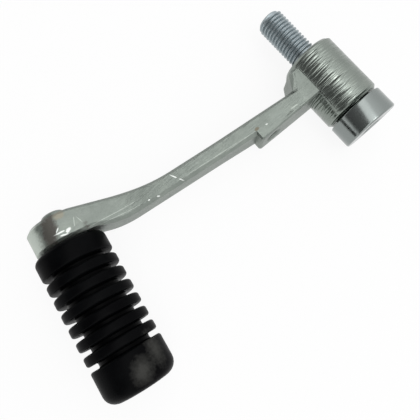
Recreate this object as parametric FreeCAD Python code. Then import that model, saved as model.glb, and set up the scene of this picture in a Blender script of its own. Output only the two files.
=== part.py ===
import FreeCAD, Part
import math
import os

os.makedirs("parts", exist_ok=True)

Vector = FreeCAD.Vector

# Gear shift pedal of a motorbike, millimetres, lying as it comes to rest: on its boss and its rubber.
# +Y is the pivot axis and points from the bike's frame to the bolt's head.
# The origin is on that axis, in the plane where the bolt's shoulder seats on the frame.
# +X runs from the pivot out to the foot peg, and +Z is up.

# Pivot bolt: M10 thread, smooth shoulder that carries the boss, round head with a hex socket
thread_d = 10.0
thread_length = 19.8
thread_chamfer = 1.2
shoulder_d = 12.6
head_d = 20.7
head_length = 8.4
head_inner_chamfer = 0.4
head_outer_chamfer = 0.9
socket_across_flats = 8.0
socket_depth = 5.0
socket_chamfer = 0.4

# Boss of the lever, and the rubber rings that keep dirt out of its bore
boss_d = 20.7
boss_length = 24.2
boss_edge_chamfer = 1.0
end_float = 0.6
pivot_clearance = 0.05
seal_d = 14.3
seal_thickness = 2.0
seal_stand = 0.35
seal_clearance = 0.05

# Arm: a flat forged bar that leaves the boss at a slant and cranks towards the bike before the eye
arm_root_thickness = 6.0
arm_crank_thickness = 5.8
arm_offset = -0.2
arm_heading = 6.85
crank_to_peg = 26.0
crank_skew = 15.3
crank_inner_r = 60.0
crank_outer_r = 30.0
arm_edge_chamfer = 1.1
root_depth = 13.8
root_blend_r = 30.0
arm_depth = 9.6
arm_blend_r = 120.0
taper_reach = 46.0

# Web that widens the boss into the arm on the bike's side
web_depth = 11.6
web_corner_x = 11.3
web_corner_y = 2.2
web_corner_r = 1.5
web_foot_x = 14.6
web_edge_chamfer = 1.0
web_root_x = 5.9
web_root_y = 1.1

# Linkage pad on the outer side of the arm, with a tapped M6 hole for the rod's ball joint
pad_end_x = 33.6
pad_face_y = 14.15
pad_root_step = 0.35
pad_height = 11.8
pad_blend_x = 22.0
pad_blend_r = 60.0
pad_corner_r = 1.2
pad_edge_chamfer = 0.5
linkage_reach = 27.9
linkage_minor_d = 5.0
linkage_mouth_chamfer = 0.6

# Eye at the arm's end, coaxial with the foot peg
peg_reach = 104.9
peg_drop = 0.55
peg_yaw = 10.1
eye_d = 20.6
eye_thickness = 9.3
eye_inner_corner = 5.8
eye_outer_corner = 11.4
eye_inner_blend_r = 12.0
eye_outer_blend_r = 6.0
flare_reach = 21.6
flare_blend_r = 26.0

# Foot peg: shouldered steel rod, its tenon peened over on the eye's inner side
tenon_d = 7.0
tenon_clearance = 0.02
button_d = 8.6
button_height = 3.0
button_edge_chamfer = 0.7
peg_d = 12.0
peg_length = 44.5
peg_tip_chamfer = 1.0

# Rubber: plain collar, ribs with grooves between them, closed cap
rubber_d = 24.4
cap_d = 24.4
rubber_length = 50.7
rubber_gap = 0.3
rubber_clearance = 0.05
rubber_collar_length = 7.1
rubber_collar_chamfer = 1.0
rib_count = 6
rib_pitch = 4.95
groove_width = 1.7
groove_root_d = 17.6
cap_edge_chamfer = 2.5

boss_start = end_float
boss_end = boss_start + boss_length
boss_middle = (boss_start + boss_end) / 2
shoulder_length = boss_length + 2 * end_float
bore_d = shoulder_d + 2 * pivot_clearance
crank_reach = peg_reach - crank_to_peg
eye_outer = -rubber_gap
eye_inner = eye_outer - eye_thickness
seal_seat_depth = seal_thickness - seal_stand
rest_tilt = math.degrees(math.asin((rubber_d - boss_d) / 2 / peg_reach))
heading_slope = math.tan(math.radians(arm_heading))
peg_root_y = boss_middle + arm_offset - peg_reach * heading_slope - peg_drop
close = 0.01
parallel = 0.999

ORIGIN = Vector(0, 0, 0)
AXIS_Y = Vector(0, 1, 0)
AXIS_Z = Vector(0, 0, 1)


def rounded_loop(corners):
    """Closed flat wire through corners of (point, radius), each radius a tangent arc."""
    count = len(corners)
    stops = []
    for i in range(count):
        point, radius = corners[i]
        if radius == 0:
            stops.append((point, None, point))
            continue
        back = (corners[i - 1][0] - point).normalize()
        ahead = (corners[(i + 1) % count][0] - point).normalize()
        half_angle = back.getAngle(ahead) / 2
        setback = radius / math.tan(half_angle)
        middle = (back + ahead).normalize() * (radius / math.sin(half_angle) - radius)
        stops.append((point + back * setback, point + middle, point + ahead * setback))
    edges = []
    for i in range(count):
        first, via, last = stops[i]
        if via is not None:
            edges.append(Part.Arc(first, via, last).toShape())
        following = stops[(i + 1) % count][0]
        if last.distanceToPoint(following) > 1e-6:
            edges.append(Part.makeLine(last, following))
    return Part.Wire(edges)


def plate(corners, direction):
    """Solid between a rounded loop and the same loop moved along direction."""
    return Part.Face(rounded_loop(corners)).extrude(direction)


def turned(profile):
    """Solid turned about the Y axis from corners of (y, r, rounding)."""
    corners = [(Vector(r, y, 0), rounding) for y, r, rounding in profile]
    return Part.Face(rounded_loop(corners)).revolve(ORIGIN, AXIS_Y, 360)


def upright(plan, depth):
    """Plate with a plan outline of (x, y, rounding), centred on the lever's plane."""
    corners = [(Vector(x, y, -depth / 2), rounding) for x, y, rounding in plan]
    return plate(corners, AXIS_Z * depth)


def rod(diameter, start, end, x=0.0):
    """Cylinder along Y from start to end."""
    return Part.makeCylinder(diameter / 2, end - start, Vector(x, start, 0), AXIS_Y)


def at_peg(shape):
    """Move a shape from the peg's own frame, +Y along the peg from the rubber's start, to the arm's end."""
    moved = shape.copy()
    moved.rotate(ORIGIN, AXIS_Z, -peg_yaw)
    moved.translate(Vector(peg_reach, peg_root_y, 0))
    return moved


def at_rest(shape):
    """Turn a piece of the lever about the pivot until the rubber is down on the ground with the boss."""
    rested = shape.copy()
    rested.rotate(ORIGIN, AXIS_Y, -rest_tilt)
    return rested


def peg_point(across, along):
    """Plan position of a point given across and along the peg."""
    turn = math.radians(peg_yaw)
    x = peg_reach + across * math.cos(turn) + along * math.sin(turn)
    y = peg_root_y - across * math.sin(turn) + along * math.cos(turn)
    return x, y


def arm_side(x, side):
    """Y of a side of the straight arm: side is 1 for the outer one and -1 for the bike's one."""
    thickness = arm_root_thickness + (arm_crank_thickness - arm_root_thickness) * x / crank_reach
    return boss_middle + arm_offset - x * heading_slope + side * thickness / 2


def arm_and_eye():
    """Cranked bar with the eye: its plan outline cut to its elevation, long edges chamfered."""
    inner_crank_x = crank_reach - crank_skew / 2
    outer_crank_x = crank_reach + crank_skew / 2
    beyond = eye_d
    plan = [
        (0, arm_side(0, -1), 0),
        (inner_crank_x, arm_side(inner_crank_x, -1), crank_inner_r),
        (*peg_point(-eye_inner_corner, eye_inner), eye_inner_blend_r),
        (*peg_point(beyond, eye_inner), 0),
        (*peg_point(beyond, eye_outer), 0),
        (*peg_point(-eye_outer_corner, eye_outer), eye_outer_blend_r),
        (outer_crank_x, arm_side(outer_crank_x, 1), crank_outer_r),
        (pad_blend_x, arm_side(pad_blend_x, 1), pad_blend_r),
        (0, pad_face_y - pad_root_step, 0),
    ]
    eye_r = eye_d / 2
    offset = math.hypot(flare_reach, arm_depth / 2)
    rise = math.asin(eye_r / offset) - math.atan2(arm_depth / 2, flare_reach)
    eye_corner = arm_depth / 2 + (flare_reach + eye_r) * math.tan(rise)
    upper = [
        (-peg_reach - beyond, root_depth / 2, 0),
        (boss_d / 2 - peg_reach, root_depth / 2, root_blend_r),
        (taper_reach - peg_reach, arm_depth / 2, arm_blend_r),
        (-flare_reach, arm_depth / 2, flare_blend_r),
        (eye_r, eye_corner, eye_r),
    ]
    lower = [(x, -z, rounding) for x, z, rounding in reversed(upper)]
    width = 2 * (boss_end + beyond)
    elevation = [(Vector(x, -width / 2, z), rounding) for x, z, rounding in upper + lower]
    bar = upright(plan, 2 * eye_corner).common(at_peg(plate(elevation, AXIS_Y * width)))
    return bar.makeChamfer(arm_edge_chamfer, rim_edges(bar))


def rim_edges(bar):
    """Edges along the sides of the bar, without those across its faces and at its root."""
    turn = math.radians(peg_yaw)
    across = Vector(math.sin(turn), math.cos(turn), 0)
    chosen = []
    for edge in bar.Edges:
        run = edge.tangentAt(edge.FirstParameter)
        straight = isinstance(edge.Curve, Part.Line)
        skipped = straight and (abs(run.z) > parallel or abs(run * across) > parallel)
        if not skipped and edge.BoundBox.XMax > close:
            chosen.append(edge)
    return chosen


def web():
    """Wedge between the boss and the arm, thinner than the arm, edges chamfered."""
    plan = [
        (0, boss_start + boss_edge_chamfer, 0),
        (web_root_x, web_root_y, 0),
        (web_corner_x, web_corner_y, web_corner_r),
        (web_foot_x, arm_side(web_foot_x, -1), 0),
        (web_foot_x + 2 * web_corner_r, arm_side(web_foot_x, 0), 0),
        (0, arm_side(0, 0), 0),
    ]
    wedge = upright(plan, web_depth)
    rims = [e for e in wedge.Edges if e.BoundBox.ZLength < close and e.CenterOfMass.y < web_corner_y]
    return wedge.makeChamfer(web_edge_chamfer, rims)


def pad():
    """Flat pad for the linkage, its face square to the pivot axis."""
    block = Part.makeBox(pad_end_x, pad_face_y - boss_middle, pad_height, Vector(0, boss_middle, -pad_height / 2))
    ends = [e for e in block.Edges if e.CenterOfMass.x > pad_end_x - close and e.BoundBox.YLength > close]
    block = block.makeFillet(pad_corner_r, ends)
    face_rim = [e for e in block.Edges if e.BoundBox.YMin > pad_face_y - close and e.CenterOfMass.x > close]
    return block.makeChamfer(pad_edge_chamfer, face_rim)


def boss_blank():
    """Round boss before it is bored."""
    boss = rod(boss_d, boss_start, boss_end)
    return boss.makeChamfer(boss_edge_chamfer, [e for e in boss.Edges if isinstance(e.Curve, Part.Circle)])


def bore_cutter():
    """Running bore of the boss with a seat for a seal at each end."""
    cutter = rod(bore_d, boss_start, boss_end)
    seat_d = seal_d + 2 * seal_clearance
    inner_seat = rod(seat_d, boss_start, boss_start + seal_seat_depth)
    outer_seat = rod(seat_d, boss_end - seal_seat_depth, boss_end)
    return cutter.fuse([inner_seat, outer_seat])


def linkage_cutter():
    """Tapped hole through the pad and the arm, its mouth countersunk."""
    hole = rod(linkage_minor_d, 0, pad_face_y, linkage_reach)
    mouth_r = linkage_minor_d / 2 + linkage_mouth_chamfer
    mouth_start = Vector(linkage_reach, pad_face_y, 0)
    mouth = Part.makeCone(mouth_r, linkage_minor_d / 2, linkage_mouth_chamfer, mouth_start, -AXIS_Y)
    return hole.fuse(mouth)


def gear_lever():
    """Lever in one piece: boss, arm, web, pad and eye."""
    lever = boss_blank().fuse([arm_and_eye(), web(), pad()]).removeSplitter()
    tenon_hole = at_peg(rod(tenon_d + 2 * tenon_clearance, eye_inner - 1, eye_outer + 1))
    return lever.cut([bore_cutter(), linkage_cutter(), tenon_hole])


def pivot_bolt():
    """Shouldered bolt: thread at its major size, shoulder, head with a hex socket."""
    head_start = shoulder_length
    head_end = head_start + head_length
    bolt = turned([
        (-thread_length, 0, 0),
        (-thread_length, thread_d / 2 - thread_chamfer, 0),
        (-thread_length + thread_chamfer, thread_d / 2, 0),
        (0, thread_d / 2, 0),
        (0, shoulder_d / 2, 0),
        (head_start, shoulder_d / 2, 0),
        (head_start, head_d / 2 - head_inner_chamfer, 0),
        (head_start + head_inner_chamfer, head_d / 2, 0),
        (head_end - head_outer_chamfer, head_d / 2, 0),
        (head_end, head_d / 2 - head_outer_chamfer, 0),
        (head_end, 0, 0),
    ])
    corner_r = socket_across_flats / math.sqrt(3)
    hexagon = [Vector(corner_r * math.sin(math.radians(a)), head_end, corner_r * math.cos(math.radians(a)))
               for a in range(0, 360, 60)]
    socket = plate([(corner, 0) for corner in hexagon], -AXIS_Y * socket_depth)
    lead_in = Part.makeCone(corner_r + socket_chamfer, corner_r - socket_chamfer, 2 * socket_chamfer,
                            Vector(0, head_end, 0), -AXIS_Y)
    return bolt.cut([socket, lead_in])


def dust_seal(start):
    """Rubber ring round the shoulder."""
    inner_r = shoulder_d / 2 + seal_clearance
    outer_r = seal_d / 2
    end = start + seal_thickness
    return turned([
        (start, inner_r, 0),
        (start, outer_r, 0),
        (end, outer_r, 0),
        (end, inner_r, 0),
    ])


def foot_peg():
    """Rod under the rubber with a shoulder on the eye, a tenon through it and a peened button."""
    peg = turned([
        (eye_inner - button_height, 0, 0),
        (eye_inner - button_height, button_d / 2 - button_edge_chamfer, 0),
        (eye_inner - button_height + button_edge_chamfer, button_d / 2, 0),
        (eye_inner, button_d / 2, 0),
        (eye_inner, tenon_d / 2, 0),
        (eye_outer, tenon_d / 2, 0),
        (eye_outer, peg_d / 2, 0),
        (peg_length - peg_tip_chamfer, peg_d / 2, 0),
        (peg_length, peg_d / 2 - peg_tip_chamfer, 0),
        (peg_length, 0, 0),
    ])
    return at_peg(peg)


def rubber_outline():
    """Outer corners of the rubber from its collar to the edge of its cap."""
    rib_r = rubber_d / 2
    root_r = groove_root_d / 2
    cap_r = cap_d / 2
    outline = [(0, rib_r - rubber_collar_chamfer, 0), (rubber_collar_chamfer, rib_r, 0)]
    for i in range(rib_count + 1):
        start = rubber_collar_length + i * rib_pitch
        end = start + groove_width
        following_r = rib_r if i < rib_count else cap_r
        outline += [(start, rib_r, 0), (start, root_r, 0), (end, root_r, 0), (end, following_r, 0)]
    outline += [(rubber_length - cap_edge_chamfer, cap_r, 0), (rubber_length, cap_r - cap_edge_chamfer, 0)]
    return outline


def peg_rubber():
    """Ribbed rubber pulled over the peg, closed at its outer end."""
    bore_r = peg_d / 2 + rubber_clearance
    bore_end = peg_length + rubber_clearance
    rubber = turned([
        *rubber_outline(),
        (rubber_length, 0, 0),
        (bore_end, 0, 0),
        (bore_end, bore_r, 0),
        (0, bore_r, 0),
    ])
    return at_peg(rubber)


pieces = {
    "gear_lever": at_rest(gear_lever()),
    "pivot_bolt": pivot_bolt(),
    "inner_dust_seal": at_rest(dust_seal(boss_start - seal_stand)),
    "outer_dust_seal": at_rest(dust_seal(boss_end + seal_stand - seal_thickness)),
    "foot_peg": at_rest(foot_peg()),
    "peg_rubber": at_rest(peg_rubber()),
}
for name, shape in pieces.items():
    shape.exportStep(f"parts/{name}.step")
    print(name, shape.isValid(), round(shape.Volume), len(shape.Solids), len(shape.Faces))
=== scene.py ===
import math
import bmesh
import bpy
from mathutils import Matrix, Vector


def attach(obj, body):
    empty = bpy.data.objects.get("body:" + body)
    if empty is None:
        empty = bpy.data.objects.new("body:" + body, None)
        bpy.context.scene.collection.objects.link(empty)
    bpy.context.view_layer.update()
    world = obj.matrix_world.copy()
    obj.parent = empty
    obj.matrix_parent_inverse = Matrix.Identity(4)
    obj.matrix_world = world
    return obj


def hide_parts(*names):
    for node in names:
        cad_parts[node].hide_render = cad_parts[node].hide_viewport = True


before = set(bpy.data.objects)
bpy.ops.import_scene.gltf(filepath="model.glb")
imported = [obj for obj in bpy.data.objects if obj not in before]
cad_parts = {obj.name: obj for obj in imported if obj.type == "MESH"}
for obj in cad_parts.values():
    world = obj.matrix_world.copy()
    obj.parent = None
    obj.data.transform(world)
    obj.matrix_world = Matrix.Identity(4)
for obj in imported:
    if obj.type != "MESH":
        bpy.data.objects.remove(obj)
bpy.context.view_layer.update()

mm = 0.001
pivotAxis = Vector((0, 1, 0))
noiseSpan = (0.3, 0.7)  # nearly all of a noise texture's values lie between these
smoothAngle = 35  # degrees: a sharper fold than this stays a crisp edge

# where the peg stands on the lever, in mm and degrees: its root and its lean seen from above. The rubber is
# thicker than the boss, so the lever lies tilted at rest.
pegPlace = {"reach": 104.9, "rootY": -0.6514, "yaw": 10.1, "rubberAcross": 24.4, "bossAcross": 20.7}
restTilt = math.asin((pegPlace["rubberAcross"] - pegPlace["bossAcross"]) / 2 / pegPlace["reach"])
pegMatrix = (
    Matrix.Rotation(-restTilt, 4, "Y")
    @ Matrix.Translation(Vector((pegPlace["reach"], pegPlace["rootY"], 0)) * mm)
    @ Matrix.Rotation(-math.radians(pegPlace["yaw"]), 4, "Z")
)


def linear(hexColour):  # sRGB hex to the linear colour that a shader wants
    channels = [int(hexColour[i:i + 2], 16) / 255 for i in (0, 2, 4)]
    return (*[c / 12.92 if c <= 0.04045 else ((c + 0.055) / 1.055) ** 2.4 for c in channels], 1.0)


def addNode(tree, kind, inputs=None, stops=None, **settings):  # a node with its settings, links and stops
    node = tree.nodes.new(kind)
    for name, value in settings.items():
        setattr(node, name, value)
    for key, value in (inputs or {}).items():
        if isinstance(value, bpy.types.NodeSocket):
            tree.links.new(value, node.inputs[key])
        else:
            node.inputs[key].default_value = value
    if stops:
        ramp = node.color_ramp.elements
        while len(ramp) < len(stops):
            ramp.new(1.0)
        for element, (position, colour) in zip(ramp, stops):
            element.position = position
            element.color = colour
    return node


def newMaterial(name):  # a material with its tree, its shader and the object coordinates
    material = bpy.data.materials.new(name)
    material.use_nodes = True
    tree = material.node_tree
    shader = tree.nodes["Principled BSDF"]
    place = addNode(tree, "ShaderNodeTexCoord").outputs["Object"]
    return material, tree, shader, place


def finishPiece(bm, name, material, body, replaced):  # a mesh object on its body
    bmesh.ops.recalc_face_normals(bm, faces=bm.faces)
    mesh = bpy.data.meshes.new(name)
    bm.to_mesh(mesh)
    bm.free()
    mesh.shade_smooth()
    mesh.set_sharp_from_angle(angle=math.radians(smoothAngle))
    piece = bpy.data.objects.new(name, mesh)
    bpy.context.scene.collection.objects.link(piece)
    mesh.materials.append(material)
    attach(piece, body)
    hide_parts(*replaced)
    print("made", name, len(mesh.vertices), "vertices")
    return piece


# lever's zinc, sizes in mm. A lathe leaves marks about 0.15 mm apart, and a forging's grain is finer still,
# too fine for this picture, so turning marks, grain and scratches are drawn coarser.
zincLook = {
    "shade": "878e88", "lightShade": "8f968f", "darkShade": "7f8680", "shadeStops": (0.3, 0.5, 0.72),
    "roughness": (0.38, 0.48), "burntAndDarkReflectionDull": 0.2, "markSoftness": 0.27,
    "mottleSize": 6.0, "mottleDepth": 0.06, "grainSize": 0.5, "grainDepth": 0.018, "forgedStrength": 1.15,
    "bossRadius": 10.35, "bossRim": (0.25, 0.05), "bossPolish": -0.37,
    "turningSize": 0.65, "turningStretch": 0.05, "turningDepth": 0.46, "turningDull": 0.36,
    "scratchSize": 0.3, "scratchStretch": 0.05, "scratchDepth": 0.1, "armHeading": 6.85,
}

# marks on the lever, of wear and of painted light: kind, middle and half sizes in mm, turn seen from above in
# degrees
# the pale mark is painted light that lightens the eye's nose
wearAndPaintedLightShades = {
    "burntAndDarkReflection": "64625d", "bright": "e4e8e4", "stain": "8f8d80", "brown": "767164", "pale": "bcc4bc",
    "faint": "a9b0a9",
}
# the dark patches on the eye are burnt zinc, deepened with painted dark reflection
wearAndPaintedLightMarks = [
    ("pale", (111.2, -7.2, 7), (3.4, 6.5, 8), -10), ("burntAndDarkReflection", (104.7, -6.0, 11), (2.3, 6.0, 7), -28),
    # the first four bright marks, by the rubber, are painted highlights with bright scratches; the bright
    # marks further along the arm are nicks
    ("stain", (99.9, -8.4, 10), (1.8, 1.4, 6), 0), ("bright", (100.3, -2.5, 11), (0.9, 0.6, 3), 20),
    ("bright", (102.8, -3.3, 12), (1.6, 0.28, 3), -11), ("bright", (102.2, -2.0, 12), (1.2, 0.22, 3), -20),
    ("bright", (102.9, -4.4, 12), (0.8, 0.2, 3), 35), ("burntAndDarkReflection", (95.4, -0.8, 5), (1.2, 1.8, 5), -10),
    ("faint", (97.5, -3.6, 9), (1.6, 0.16, 6), 60), ("faint", (95.8, -3.2, 8), (1.3, 0.14, 6), 100),
    # the faint lines along the arm and beside the boss are painted highlights on its top outer edge, with fine
    # scratches; the two faint marks turned across, by the eye, are scratches
    ("faint", (86.0, 1.6, 8), (9.0, 0.12, 5), -8), ("faint", (84.0, 3.4, 8), (6.0, 0.1, 5), -12),
    ("faint", (50.0, 8.0, 7), (12.0, 0.12, 5), -7), ("faint", (39.0, 9.6, 7), (6.0, 0.12, 5), -5),
    ("bright", (64.1, 4.3, 5.9), (1.2, 0.2, 2), 116), ("bright", (62.8, 6.8, 5.9), (0.9, 0.16, 2), 124),
    ("bright", (72.1, 6.05, 6), (0.5, 0.22, 2), -30), ("bright", (75.2, 5.2, 6), (0.35, 0.25, 2), 0),
    ("bright", (29.1, 10.8, 6.3), (0.4, 0.16, 2), -20), ("faint", (18.0, 12.3, 6.8), (1.6, 0.2, 2), -5),
    ("brown", (32.6, 9.9, 6.2), (0.8, 0.5, 2), 0),
]

# how far noise frays the rim of a mark: the noise's size in mm, and its share of the mark's half size
frayLook = {"size": 1.2, "share": 1.6}


def markMask(tree, place, centre, size, turn, softness):  # 1 inside an oval with a ragged rim, 0 outside
    middle = 1 + frayLook["share"] / 2
    local = addNode(tree, "ShaderNodeMapping", {
        "Vector": place, "Location": Vector(centre) * mm, "Rotation": (0, 0, math.radians(turn)),
        "Scale": Vector(size) * mm}, vector_type="TEXTURE")
    reach = addNode(tree, "ShaderNodeVectorMath", {0: local.outputs["Vector"]}, operation="LENGTH")
    ragged = addNode(tree, "ShaderNodeTexNoise", {
        "Vector": place, "Scale": 1 / (frayLook["size"] * mm), "Detail": 5.0, "Roughness": 0.7})
    rim = addNode(tree, "ShaderNodeMath", {
        0: ragged.outputs["Fac"], 1: frayLook["share"], 2: reach.outputs["Value"]}, operation="MULTIPLY_ADD")
    return addNode(tree, "ShaderNodeMapRange", {
        "Value": rim.outputs["Value"], "From Min": middle + softness,
        "From Max": middle - softness}).outputs["Result"]


def makeZincPlate():
    # tumbled zinc over a forging is satin grey-green, with a faint mottle and fine scratches along the arm
    # and a brighter boss, because it was turned: fine rings break its highlight into streaks
    look = zincLook
    material, tree, shader, place = newMaterial("zinc-plated forged steel")
    mottle = addNode(tree, "ShaderNodeTexNoise", {
        "Vector": place, "Scale": 1 / (look["mottleSize"] * mm), "Detail": 6.0, "Roughness": 0.62})
    grain = addNode(tree, "ShaderNodeTexNoise", {
        "Vector": place, "Scale": 1 / (look["grainSize"] * mm), "Detail": 4.0, "Roughness": 0.6})
    shades = [linear(look[name]) for name in ("darkShade", "shade", "lightShade")]
    colour = addNode(tree, "ShaderNodeValToRGB", {"Fac": mottle.outputs["Fac"]},
                     stops=list(zip(look["shadeStops"], shades)))
    shade = colour.outputs["Color"]
    # the marks lay wear and painted light over the mottle: a pale nose, dark reflection and highlights on the
    # eye, highlights along the arm
    burntAndDarkReflection = 0.0
    for kind, centre, size, turn in wearAndPaintedLightMarks:
        mask = markMask(tree, place, centre, size, turn, look["markSoftness"])
        shade = addNode(tree, "ShaderNodeMix", {0: mask, 6: shade, 7: linear(wearAndPaintedLightShades[kind])},
                        data_type="RGBA").outputs[2]
        # the dark patches, burnt zinc with painted dark reflection, are also rougher
        if kind == "burntAndDarkReflection":
            burntAndDarkReflection = addNode(tree, "ShaderNodeMath", {0: mask, 1: burntAndDarkReflection}, operation="MAXIMUM").outputs["Value"]
    # distance from the pivot axis tells the turned boss from the arm
    flat = addNode(tree, "ShaderNodeVectorMath", {0: place, 1: (1.0, 0.0, 1.0)}, operation="MULTIPLY")
    radius = addNode(tree, "ShaderNodeVectorMath", {0: flat.outputs["Vector"]}, operation="LENGTH")
    onBoss = addNode(tree, "ShaderNodeMapRange", {
        "Value": radius.outputs["Value"], "From Min": (look["bossRadius"] + look["bossRim"][0]) * mm,
        "From Max": (look["bossRadius"] + look["bossRim"][1]) * mm})
    # turning marks run round the boss, so they change fast along the axis and slowly round it
    around = addNode(tree, "ShaderNodeMapping", {
        "Vector": place, "Scale": (look["turningStretch"], 1.0, look["turningStretch"])})
    turning = addNode(tree, "ShaderNodeTexNoise", {
        "Vector": around.outputs["Vector"], "Scale": 1 / (look["turningSize"] * mm), "Detail": 1.5,
        "Roughness": 0.5})
    turned = addNode(tree, "ShaderNodeMath", {0: turning.outputs["Fac"], 1: onBoss.outputs["Result"]},
                     operation="MULTIPLY")
    roughness = addNode(tree, "ShaderNodeMapRange", {
        "Value": grain.outputs["Fac"], "From Min": noiseSpan[0], "From Max": noiseSpan[1],
        "To Min": look["roughness"][0], "To Max": look["roughness"][1]})
    polished = addNode(tree, "ShaderNodeMath", {
        0: onBoss.outputs["Result"], 1: look["bossPolish"], 2: roughness.outputs["Result"]},
        operation="MULTIPLY_ADD")
    streaked = addNode(tree, "ShaderNodeMath", {
        0: turned.outputs["Value"], 1: look["turningDull"], 2: polished.outputs["Value"]},
        operation="MULTIPLY_ADD")
    offBoss = addNode(tree, "ShaderNodeMath", {0: look["forgedStrength"], 1: onBoss.outputs["Result"]},
                      operation="SUBTRACT")
    fine = addNode(tree, "ShaderNodeBump", {
        "Height": grain.outputs["Fac"], "Strength": offBoss.outputs["Value"],
        "Distance": look["grainDepth"] * mm})
    coarse = addNode(tree, "ShaderNodeBump", {
        "Height": mottle.outputs["Fac"], "Strength": offBoss.outputs["Value"],
        "Distance": look["mottleDepth"] * mm, "Normal": fine.outputs["Normal"]})
    # scratches run along the arm
    along = addNode(tree, "ShaderNodeMapping", {
        "Vector": place, "Rotation": (0, 0, math.radians(look["armHeading"])),
        "Scale": (look["scratchStretch"], 1.0, 1.0)})
    scratches = addNode(tree, "ShaderNodeTexNoise", {
        "Vector": along.outputs["Vector"], "Scale": 1 / (look["scratchSize"] * mm), "Detail": 2.0,
        "Roughness": 0.6})
    scratched = addNode(tree, "ShaderNodeBump", {
        "Height": scratches.outputs["Fac"], "Strength": offBoss.outputs["Value"],
        "Distance": look["scratchDepth"] * mm, "Normal": coarse.outputs["Normal"]})
    marks = addNode(tree, "ShaderNodeBump", {
        "Height": turned.outputs["Value"], "Strength": 1.0, "Distance": look["turningDepth"] * mm,
        "Normal": scratched.outputs["Normal"]})
    dulled = addNode(tree, "ShaderNodeMath", {0: burntAndDarkReflection, 1: look["burntAndDarkReflectionDull"], 2: streaked.outputs["Value"]},
                     operation="MULTIPLY_ADD")
    tree.links.new(shade, shader.inputs["Base Color"])
    tree.links.new(dulled.outputs["Value"], shader.inputs["Roughness"])
    tree.links.new(marks.outputs["Normal"], shader.inputs["Normal"])
    shader.inputs["Metallic"].default_value = 1.0
    return material


# pivot bolt's bright zinc, sizes in mm; the change from thread to head lies between threadEnds along the axis
boltLook = {
    "headShade": "8a908e", "threadShade": "aab3b6", "paintedRootShade": "a2acb0", "flankStop": 0.55,
    "roughness": (0.14, 0.24), "threadDull": 0.28, "threadEnds": (-0.4, 0.2),
    "turningSize": 0.3, "turningStretch": 0.05, "turningDepth": 0.006, "grainSize": 0.6, "grainDepth": 0.006,
}


def makeBoltSteel():
    # bright zinc on a turned head mirrors the tent in sharp bands; the rolled thread is duller and bluish
    look = boltLook
    material, tree, shader, place = newMaterial("bright zinc-plated bolt steel")
    split = addNode(tree, "ShaderNodeSeparateXYZ", {"Vector": place})
    flat = addNode(tree, "ShaderNodeVectorMath", {0: place, 1: (1.0, 0.0, 1.0)}, operation="MULTIPLY")
    radius = addNode(tree, "ShaderNodeVectorMath", {0: flat.outputs["Vector"]}, operation="LENGTH")
    height = addNode(tree, "ShaderNodeMapRange", {
        "Value": radius.outputs["Value"], "From Min": threadShape["rootRadius"] * mm,
        "From Max": threadShape["crestRadius"] * mm})
    # the roots are drawn a little darker than the crests: painted shade in the thread's grooves
    depth = addNode(tree, "ShaderNodeValToRGB", {"Fac": height.outputs["Result"]}, stops=[
        (0.0, linear(look["paintedRootShade"])), (look["flankStop"], linear(look["threadShade"]))])
    onHead = addNode(tree, "ShaderNodeMapRange", {
        "Value": split.outputs["Y"], "From Min": look["threadEnds"][0] * mm,
        "From Max": look["threadEnds"][1] * mm})
    colour = addNode(tree, "ShaderNodeMix", {
        0: onHead.outputs["Result"], 6: depth.outputs["Color"], 7: linear(look["headShade"])},
        data_type="RGBA")
    around = addNode(tree, "ShaderNodeMapping", {
        "Vector": place, "Scale": (look["turningStretch"], 1.0, look["turningStretch"])})
    turning = addNode(tree, "ShaderNodeTexNoise", {
        "Vector": around.outputs["Vector"], "Scale": 1 / (look["turningSize"] * mm), "Detail": 4.0,
        "Roughness": 0.6})
    grain = addNode(tree, "ShaderNodeTexNoise", {
        "Vector": place, "Scale": 1 / (look["grainSize"] * mm), "Detail": 5.0, "Roughness": 0.65})
    roughness = addNode(tree, "ShaderNodeMapRange", {
        "Value": grain.outputs["Fac"], "From Min": noiseSpan[0], "From Max": noiseSpan[1],
        "To Min": look["roughness"][0], "To Max": look["roughness"][1]})
    marks = addNode(tree, "ShaderNodeBump", {
        "Height": turning.outputs["Fac"], "Strength": 1.0, "Distance": look["turningDepth"] * mm})
    pits = addNode(tree, "ShaderNodeBump", {
        "Height": grain.outputs["Fac"], "Strength": 1.0, "Distance": look["grainDepth"] * mm,
        "Normal": marks.outputs["Normal"]})
    threadShare = addNode(tree, "ShaderNodeMath", {0: 1.0, 1: onHead.outputs["Result"]}, operation="SUBTRACT")
    dulled = addNode(tree, "ShaderNodeMath", {
        0: threadShare.outputs["Value"], 1: look["threadDull"], 2: roughness.outputs["Result"]},
        operation="MULTIPLY_ADD")
    tree.links.new(colour.outputs[2], shader.inputs["Base Color"])
    tree.links.new(dulled.outputs["Value"], shader.inputs["Roughness"])
    tree.links.new(pits.outputs["Normal"], shader.inputs["Normal"])
    shader.inputs["Metallic"].default_value = 1.0
    return material


# foot rubber, sizes in mm; pale smudges on its cap, painted highlight and dust: middle, half sizes, turn seen
# from above in degrees
rubberLook = {
    "shade": "030304", "worn": "08090a", "wornStops": (0.35, 0.75), "cloudSize": 9.0,
    "roughness": (0.3, 0.44), "grainSize": 0.35, "grainDepth": 0.012, "shine": 0.03,
    "dustAndSheen": "3a3a38", "dustAndSheenSoftness": 0.75,
    "dustAndSheenSpots": [((108.8, 44.8, 13.4), (2.3, 3.0, 5), -40), ((102.5, 42.0, 11), (1.6, 4.0, 4), -12)],
}
# dust seals: greyer nitrile, out of the boot's reach, without the cap's smudges of painted highlight and dust
sealLook = {**rubberLook, "shade": "1d1e1f", "cloudSize": 3.0, "dustAndSheenSpots": []}


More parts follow.
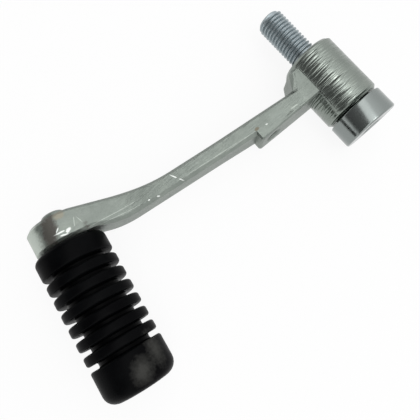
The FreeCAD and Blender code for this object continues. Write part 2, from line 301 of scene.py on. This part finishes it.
def makeRubber(name, look):
    # moulded rubber full of carbon black swallows light: hardly any shine, and pale grey smudges on the cap,
    # painted highlight and dust
    material, tree, shader, place = newMaterial(name)
    cloud = addNode(tree, "ShaderNodeTexNoise", {
        "Vector": place, "Scale": 1 / (look["cloudSize"] * mm), "Detail": 5.0, "Roughness": 0.6})
    grain = addNode(tree, "ShaderNodeTexNoise", {
        "Vector": place, "Scale": 1 / (look["grainSize"] * mm), "Detail": 3.0, "Roughness": 0.6})
    colour = addNode(tree, "ShaderNodeValToRGB", {"Fac": cloud.outputs["Fac"]}, stops=[
        (look["wornStops"][0], linear(look["shade"])), (look["wornStops"][1], linear(look["worn"]))])
    shade = colour.outputs["Color"]
    # pale smudges on the cap: painted highlight and dust
    for centre, size, turn in look["dustAndSheenSpots"]:
        mask = markMask(tree, place, centre, size, turn, look["dustAndSheenSoftness"])
        shade = addNode(tree, "ShaderNodeMix", {0: mask, 6: shade, 7: linear(look["dustAndSheen"])},
                        data_type="RGBA").outputs[2]
    roughness = addNode(tree, "ShaderNodeMapRange", {
        "Value": cloud.outputs["Fac"], "From Min": noiseSpan[0], "From Max": noiseSpan[1],
        "To Min": look["roughness"][0], "To Max": look["roughness"][1]})
    skin = addNode(tree, "ShaderNodeBump", {
        "Height": grain.outputs["Fac"], "Strength": 1.0, "Distance": look["grainDepth"] * mm})
    tree.links.new(shade, shader.inputs["Base Color"])
    tree.links.new(roughness.outputs["Result"], shader.inputs["Roughness"])
    tree.links.new(skin.outputs["Normal"], shader.inputs["Normal"])
    shader.inputs["Specular IOR Level"].default_value = look["shine"]
    return material


# how turned pieces are made: segments in a rounded corner, what counts as on the axis in m, weld in mm
turnedShape = {"segments": 6, "axisSlack": 1e-7, "weld": 0.001}


def outlineEdges(corners):  # a flat outline from (along Y, radius, rounding) in mm, open along the axis
    bm = bmesh.new()
    verts = [bm.verts.new((radius * mm, along * mm, 0)) for along, radius, rounding in corners]
    bm.faces.new(verts)
    roundings = {}
    for vert, (along, radius, rounding) in zip(verts, corners):
        roundings.setdefault(rounding, []).append(vert)
    for rounding, group in roundings.items():
        if rounding:
            bmesh.ops.bevel(bm, geom=group, offset=rounding * mm, offset_type="OFFSET",
                            segments=turnedShape["segments"], profile=0.5, affect="VERTICES",
                            clamp_overlap=False, material=-1)
    bmesh.ops.delete(bm, geom=bm.faces[:], context="FACES_ONLY")
    onAxis = [
        edge for edge in bm.edges if all(abs(vert.co.x) < turnedShape["axisSlack"] for vert in edge.verts)]
    bmesh.ops.delete(bm, geom=onAxis, context="EDGES")
    return bm


def spinOutline(corners, steps):  # the outline turned once about the Y axis
    bm = outlineEdges(corners)
    bmesh.ops.spin(bm, geom=bm.verts[:] + bm.edges[:], cent=(0, 0, 0), axis=pivotAxis, angle=math.tau,
                   steps=steps, use_merge=True, use_duplicate=False)
    bmesh.ops.remove_doubles(bm, verts=bm.verts, dist=turnedShape["weld"] * mm)
    return bm


# foot rubber in mm along the peg: plain collar, six ribs, rounded cap, moulded over the peg
rubberShape = {
    "length": 50.7, "radius": 12.2, "collar": 7.1, "ribs": 6, "pitch": 4.95, "groove": 1.7, "rootRadius": 8.8,
    "mouthRound": 0.8, "rootRound": 0.5, "collarRound": 1.9, "capRound": 4.2,
    "boreRadius": 6.05, "boreEnd": 44.55, "steps": 128,
}


def makeFootRubber(material):
    shape = rubberShape
    corners = [(0, shape["radius"], shape["collarRound"])]
    for i in range(shape["ribs"] + 1):
        start = shape["collar"] + i * shape["pitch"]
        end = start + shape["groove"]
        corners += [
            (start, shape["radius"], shape["mouthRound"]), (start, shape["rootRadius"], shape["rootRound"]),
            (end, shape["rootRadius"], shape["rootRound"]), (end, shape["radius"], shape["mouthRound"])]
    corners += [
        (shape["length"], shape["radius"], shape["capRound"]), (shape["length"], 0, 0),
        (shape["boreEnd"], 0, 0), (shape["boreEnd"], shape["boreRadius"], 0), (0, shape["boreRadius"], 0)]
    bm = spinOutline(corners, shape["steps"])
    bmesh.ops.transform(bm, matrix=pegMatrix, verts=bm.verts)
    return finishPiece(bm, "ribbedFootRubber", material, "lever", ["peg_rubber"])


# pivot bolt in mm along the pivot axis: thread, relief groove, shoulder, round head with a hex socket. The
# thread's outline goes from root to root: share of the pitch, radius.
threadShape = {
    "pitch": 1.36, "crestRadius": 4.97, "rootRadius": 4.12, "tip": -19.8, "tipChamfer": 1.2, "end": -1.3,
    "outline": [(0.0, "rootRadius"), (0.12, "rootRadius"), (0.43, "crestRadius"), (0.57, "crestRadius"),
                (0.88, "rootRadius"), (1.0, "rootRadius")],
    "perTurn": 64, "weld": 0.01,
}
boltShape = {
    "coreRadius": 4.1, "coreTip": 0.3, "coreEnd": 0.4, "reliefRadius": 4.3, "reliefRounds": (0.1, 0.5),
    "shoulderRadius": 6.3, "shoulderRound": 0.2, "headStart": 25.4, "headEnd": 33.8, "headRadius": 10.35,
    "innerRound": 0.4, "outerRound": 0.7, "socketAcross": 8.0, "socketDepth": 5.0, "socketMouth": 0.4,
    "socketCone": 1.2, "wallSlack": (0.1, 0.01), "steps": 96,
}


def makeThread():  # the outline is spun while it climbs, so each turn ends where the next begins
    shape = threadShape
    turns = math.ceil((shape["end"] - shape["tip"]) / shape["pitch"]) + 2
    bm = bmesh.new()
    start = shape["tip"] - shape["pitch"]
    verts = [bm.verts.new((shape[radius] * mm, (start + share * shape["pitch"]) * mm, 0))
             for share, radius in shape["outline"]]
    edges = [bm.edges.new(pair) for pair in zip(verts, verts[1:])]
    perTurn = shape["perTurn"]
    bmesh.ops.spin(bm, geom=verts + edges, cent=(0, 0, 0), axis=pivotAxis,
                   dvec=(0, shape["pitch"] * mm / perTurn, 0), angle=math.tau * turns, steps=perTurn * turns,
                   use_merge=False, use_duplicate=False)
    bmesh.ops.remove_doubles(bm, verts=bm.verts, dist=shape["weld"] * mm)
    for level, side in ((shape["tip"], -1), (shape["end"], 1)):
        bmesh.ops.bisect_plane(
            bm, geom=bm.verts[:] + bm.edges[:] + bm.faces[:], plane_co=(0, level * mm, 0),
            plane_no=(0, side, 0), clear_outer=True, dist=1e-8)
    for vert in bm.verts:  # the tip's chamfer
        allowed = shape["crestRadius"] * mm - max(0, shape["tip"] * mm + shape["tipChamfer"] * mm - vert.co.y)
        radius = math.hypot(vert.co.x, vert.co.z)
        if radius > allowed:
            vert.co.x *= allowed / radius
            vert.co.z *= allowed / radius
    return bm


def makePivotBolt(material):
    shape = boltShape
    thread = threadShape
    socketRadius = shape["socketAcross"] / math.sqrt(3)
    corners = [
        (thread["tip"], 0, 0), (thread["tip"], thread["crestRadius"] - thread["tipChamfer"], 0),
        (thread["tip"] + shape["coreTip"], shape["coreRadius"], 0),
        (thread["end"] - shape["coreEnd"], shape["coreRadius"], 0),
        (thread["end"], shape["reliefRadius"], shape["reliefRounds"][0]),
        (0, shape["reliefRadius"], shape["reliefRounds"][1]),
        (0, shape["shoulderRadius"], shape["shoulderRound"]),
        (shape["headStart"], shape["shoulderRadius"], 0),
        (shape["headStart"], shape["headRadius"], shape["innerRound"]),
        (shape["headEnd"], shape["headRadius"], shape["outerRound"]),
        (shape["headEnd"], socketRadius + shape["socketMouth"], 0),
        (shape["headEnd"] - shape["socketMouth"], socketRadius, 0),
        (shape["headEnd"] - shape["socketDepth"], socketRadius, 0),
        (shape["headEnd"] - shape["socketDepth"] - shape["socketCone"], 0, 0)]
    bm = spinOutline(corners, shape["steps"])
    below, beyond = shape["wallSlack"]
    floor = (shape["headEnd"] - shape["socketDepth"] - below) * mm
    for vert in bm.verts:  # the socket's wall is drawn in to six flats
        radius = math.hypot(vert.co.x, vert.co.z)
        if vert.co.y > floor and radius < (socketRadius + beyond) * mm:
            turn = math.atan2(vert.co.x, vert.co.z) % (math.pi / 3) - math.pi / 6
            wanted = shape["socketAcross"] / 2 * mm / math.cos(turn)
            vert.co.x *= wanted / radius
            vert.co.z *= wanted / radius
    threadMesh = makeThread()
    joined = bpy.data.meshes.new("threadPart")
    threadMesh.to_mesh(joined)
    threadMesh.free()
    bm.from_mesh(joined)
    bpy.data.meshes.remove(joined)
    return finishPiece(bm, "threadedPivotBolt", material, "pivot", ["pivot_bolt"])


# peg in mm along itself: only its peened end shows, on the eye's inner side
pegShape = {
    "eyeInner": -9.6, "eyeOuter": -0.3, "tenonRadius": 3.5, "buttonRadius": 4.3, "buttonHeight": 3.0,
    "buttonRound": 1.6, "buttonFoot": 0.3, "rodRadius": 6.0, "rodEnd": 44.5, "tipRound": 0.8, "steps": 72,
}


def makeFootPeg(material):
    shape = pegShape
    top = shape["eyeInner"] - shape["buttonHeight"]
    corners = [
        (top, 0, 0), (top, shape["buttonRadius"], shape["buttonRound"]),
        (shape["eyeInner"], shape["buttonRadius"], shape["buttonFoot"]),
        (shape["eyeInner"], shape["tenonRadius"], 0), (shape["eyeOuter"], shape["tenonRadius"], 0),
        (shape["eyeOuter"], shape["rodRadius"], 0), (shape["rodEnd"], shape["rodRadius"], shape["tipRound"]),
        (shape["rodEnd"], 0, 0)]
    bm = spinOutline(corners, shape["steps"])
    bmesh.ops.transform(bm, matrix=pegMatrix, verts=bm.verts)
    return finishPiece(bm, "peenedFootPeg", material, "lever", ["foot_peg"])


# lever in mm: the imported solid, its chamfers rounded to soft forged edges, its pad and web drawn flush with
# the arm. The arm's half depth and its outer side's y are lines in x: value at the pivot, change per mm.
leverShape = {
    "weld": 0.002, "flatAngle": 0.8, "edgeRound": 0.42, "edgeAngle": 24, "segments": 3,
    "bossRadius": 10.35, "bossSlack": 0.03, "armChamfer": 1.1,
    "armHalfDepth": (7.56, -0.0594), "rootHalfDepth": 6.9,
    "armSide": (15.52, -0.1222), "rootSide": (13.8, -0.0441),
    "padHalfDepth": 5.9, "padInner": 12.7, "padFace": 14.15, "padEnd": 33.6, "padSlack": (0.1, 0.05),
    "padCuts": (10, 13, 16, 19, 22, 25, 28, 31), "seam": (-2, 0.1), "seamEnd": 0.3,
    "webStart": 5, "webHalfDepth": 5.8, "webCorner": (11.3, 2.2), "webFoot": (14.6, 7.75), "webSide": 9.0,
    "webSlack": (0.15, 0.05), "webBlend": (1.6, 3.1),
    "edgeDepth": 4.7, "sink": 0.03, "overlap": 0.3, "wallSlack": 0.06,
    "plateThickness": 1.5, "plateLift": 0.03,
    "plates": [
        [(7.6, 12.2), (14, 11.88), (22, 11.53), (33.2, 10.2), (33.2, 13.6), (7.6, 13.6)],
        [(7.6, 3.1), (10.0, 3.5), (13.1, 8.4), (14.0, 9.2), (14.3, 9.8), (7.6, 9.8)]],
}


def armSideAt(x):  # y of the arm's outer side
    near, far = leverShape["rootSide"], leverShape["armSide"]
    return min(near[0] + near[1] * x, far[0] + far[1] * x)


def armDepthAt(x):  # half the arm's depth
    atPivot, perMm = leverShape["armHalfDepth"]
    return min(leverShape["rootHalfDepth"], atPivot + perMm * x)


def blendPadAndWeb(bm):
    # forging draws arm, pad and web into one surface: the pad reaches into the arm and all share its depth
    shape = leverShape
    for x in shape["padCuts"]:
        bmesh.ops.bisect_plane(bm, geom=bm.verts[:] + bm.edges[:] + bm.faces[:], plane_co=(x, 0, 0),
                               plane_no=(1, 0, 0), dist=1e-4)
    (cornerX, cornerY), (footX, footY) = shape["webCorner"], shape["webFoot"]
    blendStart, blendEnd = shape["webBlend"]
    for vert in bm.verts:
        x, y, z = vert.co
        outOfBoss = math.hypot(x, z) - shape["bossRadius"]
        beside = shape["webStart"] <= x <= shape["padEnd"] + shape["padSlack"][0]
        if not beside or outOfBoss < -shape["bossSlack"]:
            continue
        armDepth = armDepthAt(x)
        onPad = shape["padInner"] - shape["padSlack"][0] < y < shape["padFace"] + shape["padSlack"][1]
        webEdge = cornerX + (y - cornerY) * (footX - cornerX) / (footY - cornerY)
        onWeb = (y < shape["webSide"] and x < webEdge + shape["webSlack"][0]
                 and abs(z) < shape["webHalfDepth"] + shape["webSlack"][1])
        if abs(z) > shape["edgeDepth"] and (onPad or onWeb):
            half = shape["padHalfDepth"] if onPad else shape["webHalfDepth"]
            wanted = min(1, abs(z) / half) * (armDepth - shape["sink"])
            share = min(1, max(0, (y - blendStart) / (blendEnd - blendStart)))
            vert.co.z = math.copysign(abs(z) + (wanted - abs(z)) * share, z)
            if outOfBoss < shape["bossSlack"]:
                vert.co.x = math.sqrt(shape["bossRadius"] ** 2 - vert.co.z ** 2)
        if abs(y - shape["padInner"]) < shape["wallSlack"] and x > footX:
            chamfered = max(0, abs(vert.co.z) - armDepth + shape["armChamfer"])
            vert.co.y = armSideAt(x) - shape["overlap"] - chamfered


def addPlates(bm):  # thin plates, flush with the arm's faces, close the grooves beside pad and web
    shape = leverShape
    for side in (1, -1):
        for outline in shape["plates"]:
            rings = [
                [bm.verts.new((x, y, side * (armDepthAt(x) + shape["plateLift"] - drop))) for x, y in outline]
                for drop in (0, shape["plateThickness"])]
            for ring in rings:
                bm.faces.new(ring)
            for i in range(len(outline)):
                bm.faces.new((rings[0][i - 1], rings[0][i], rings[1][i], rings[1][i - 1]))


def isRounded(edge):  # every sharp edge but the seam where the pad leaves the arm
    shape = leverShape
    if len(edge.link_faces) != 2 or edge.calc_face_angle(0) < math.radians(shape["edgeAngle"]):
        return False
    inner, outer = shape["seam"]
    return not all(
        shape["webFoot"][0] < vert.co.x < shape["padEnd"] - shape["seamEnd"]
        and inner < vert.co.y - armSideAt(vert.co.x) < outer
        for vert in edge.verts)


def makeLever(material):
    shape = leverShape
    bm = bmesh.new()
    bm.from_mesh(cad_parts["gear_lever"].data)
    bmesh.ops.remove_doubles(bm, verts=bm.verts, dist=shape["weld"] * mm)
    bmesh.ops.dissolve_limit(bm, angle_limit=math.radians(shape["flatAngle"]), verts=bm.verts, edges=bm.edges,
                             delimit={"NORMAL"})
    upright = Matrix.Scale(1 / mm, 4) @ Matrix.Rotation(restTilt, 4, "Y")
    bmesh.ops.transform(bm, matrix=upright, verts=bm.verts)
    blendPadAndWeb(bm)
    sharp = [edge for edge in bm.edges if isRounded(edge)]
    bmesh.ops.bevel(bm, geom=sharp, offset=shape["edgeRound"], offset_type="OFFSET",
                    segments=shape["segments"], profile=0.5, affect="EDGES", clamp_overlap=True, material=-1)
    addPlates(bm)
    bmesh.ops.transform(bm, matrix=upright.inverted(), verts=bm.verts)
    piece = finishPiece(bm, "forgedGearLever", material, "lever", ["gear_lever"])
    weighted = piece.modifiers.new("edgeShading", "WEIGHTED_NORMAL")
    weighted.keep_sharp = True
    return piece


print("materials")
zincPlate = makeZincPlate()
boltSteel = makeBoltSteel()
footRubber = makeRubber("moulded black rubber", rubberLook)
sealRubber = makeRubber("nitrile rubber", sealLook)

print("pieces")
makeLever(zincPlate)
makePivotBolt(boltSteel)
makeFootPeg(zincPlate)
makeFootRubber(footRubber)
for sealName in ("inner_dust_seal", "outer_dust_seal"):
    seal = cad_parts[sealName]
    seal.data.materials.clear()
    seal.data.materials.append(sealRubber)


# floor in mm, its glow as a share, and a light tent: share of full strength at each lean in degrees from
# straight up toward +X, and how far the tent's bands are turned away from Y
studio = {
    "floorZ": -10.35, "floorSide": 3000.0, "floorShade": "f2f2f2", "floorRoughness": 0.9, "floorGlow": 0.9,
    "tentStrength": 2.0, "tentSlant": -0.9,
    "tent": [
        (-180, 0.5), (-90, 0.48), (-60, 0.5), (-32, 0.6), (-20, 0.64), (-13, 0.95), (13, 0.95), (19, 0.13),
        (71, 0.06), (80, 0.55), (98, 0.62), (180, 0.54)],
}
# one weak softbox, in metres and watts, for the soft shadow
softbox = {"place": (-0.06, 0.25, 0.6), "target": (0.04, 0.02, 0), "size": (0.2, 0.3), "power": 0.5}
# camera fitted to the outlines in the photo: place in mm, directions, and the lens in pixels of a picture that
# is pixelsWide across
cameraFit = {
    "place": (81.212, 42.171, 159.83), "forward": (-0.12058, -0.13819, -0.98304),
    "up": (-0.6406, -0.74565, 0.18339),
    "lens": 484.36, "pixelsWide": 420, "sensorWidth": 36.0, "clipStart": 0.001,
}


def makeFloor():  # matt white paper; camera and reflections see it nearly pure white, and it keeps the shadow
    bm = bmesh.new()
    bmesh.ops.create_grid(bm, x_segments=1, y_segments=1, size=studio["floorSide"] * mm / 2)
    bmesh.ops.translate(bm, vec=(0, 0, studio["floorZ"] * mm), verts=bm.verts)
    mesh = bpy.data.meshes.new("floor")
    bm.to_mesh(mesh)
    bm.free()
    floor = bpy.data.objects.new("floor", mesh)
    bpy.context.scene.collection.objects.link(floor)
    material, tree, shader, place = newMaterial("white paper")
    shader.inputs["Base Color"].default_value = linear(studio["floorShade"])
    shader.inputs["Roughness"].default_value = studio["floorRoughness"]
    rays = addNode(tree, "ShaderNodeLightPath")
    seen = addNode(tree, "ShaderNodeMath", {
        0: rays.outputs["Is Camera Ray"], 1: rays.outputs["Is Glossy Ray"]}, operation="MAXIMUM")
    seen = addNode(tree, "ShaderNodeMath", {
        0: seen.outputs["Value"], 1: rays.outputs["Is Transmission Ray"]}, operation="MAXIMUM")
    share = addNode(tree, "ShaderNodeMath", {0: seen.outputs["Value"], 1: studio["floorGlow"]},
                    operation="MULTIPLY")
    white = addNode(tree, "ShaderNodeEmission", {"Color": (1, 1, 1, 1), "Strength": 1.0})
    mixed = addNode(tree, "ShaderNodeMixShader", {
        0: share.outputs["Value"], 1: shader.outputs["BSDF"], 2: white.outputs["Emission"]})
    tree.links.new(mixed.outputs["Shader"], tree.nodes["Material Output"].inputs["Surface"])
    mesh.materials.append(material)


def makeWorld():  # a light tent: pale sides, a bright strip overhead, a dark gap on the photographer's side
    world = bpy.data.worlds.new("light tent")
    bpy.context.scene.world = world
    world.use_nodes = True
    tree = world.node_tree
    direction = addNode(tree, "ShaderNodeTexCoord").outputs["Generated"]
    split = addNode(tree, "ShaderNodeSeparateXYZ", {"Vector": direction})
    slanted = addNode(tree, "ShaderNodeMath", {
        0: split.outputs["Y"], 1: studio["tentSlant"], 2: split.outputs["X"]}, operation="MULTIPLY_ADD")
    lean = addNode(tree, "ShaderNodeMath", {0: slanted.outputs["Value"], 1: split.outputs["Z"]},
                   operation="ARCTAN2")
    share = addNode(tree, "ShaderNodeMapRange", {
        "Value": lean.outputs["Value"], "From Min": -math.pi, "From Max": math.pi})
    ramp = addNode(tree, "ShaderNodeValToRGB", {"Fac": share.outputs["Result"]}, stops=[
        (degrees / 360 + 0.5, (level, level, level, 1.0)) for degrees, level in studio["tent"]])
    background = tree.nodes["Background"]
    tree.links.new(ramp.outputs["Color"], background.inputs["Color"])
    background.inputs["Strength"].default_value = studio["tentStrength"]


def makeSoftbox():
    lamp = bpy.data.lights.new("keySoftbox", "AREA")
    lamp.shape = "RECTANGLE"
    lamp.size, lamp.size_y = softbox["size"]
    lamp.energy = softbox["power"]
    box = bpy.data.objects.new("keySoftbox", lamp)
    bpy.context.scene.collection.objects.link(box)
    box.location = softbox["place"]
    aim = Vector(softbox["target"]) - Vector(softbox["place"])
    box.rotation_euler = aim.to_track_quat("-Z", "Y").to_euler()


def makeCamera():
    forward = Vector(cameraFit["forward"]).normalized()
    up = Vector(cameraFit["up"])
    up = (up - forward * up.dot(forward)).normalized()
    right = forward.cross(up)
    camera = bpy.data.cameras.new("camera")
    camera.sensor_width = cameraFit["sensorWidth"]
    camera.lens = cameraFit["lens"] / cameraFit["pixelsWide"] * cameraFit["sensorWidth"]
    camera.clip_start = cameraFit["clipStart"]
    camera.dof.use_dof = False
    holder = bpy.data.objects.new("camera", camera)
    bpy.context.scene.collection.objects.link(holder)
    turn = Matrix((right, up, -forward)).transposed().to_4x4()
    holder.matrix_world = Matrix.Translation(Vector(cameraFit["place"]) * mm) @ turn
    bpy.context.scene.camera = holder


print("studio")
makeFloor()
makeWorld()
makeSoftbox()
makeCamera()
bpy.context.scene.view_settings.view_transform = "Standard"
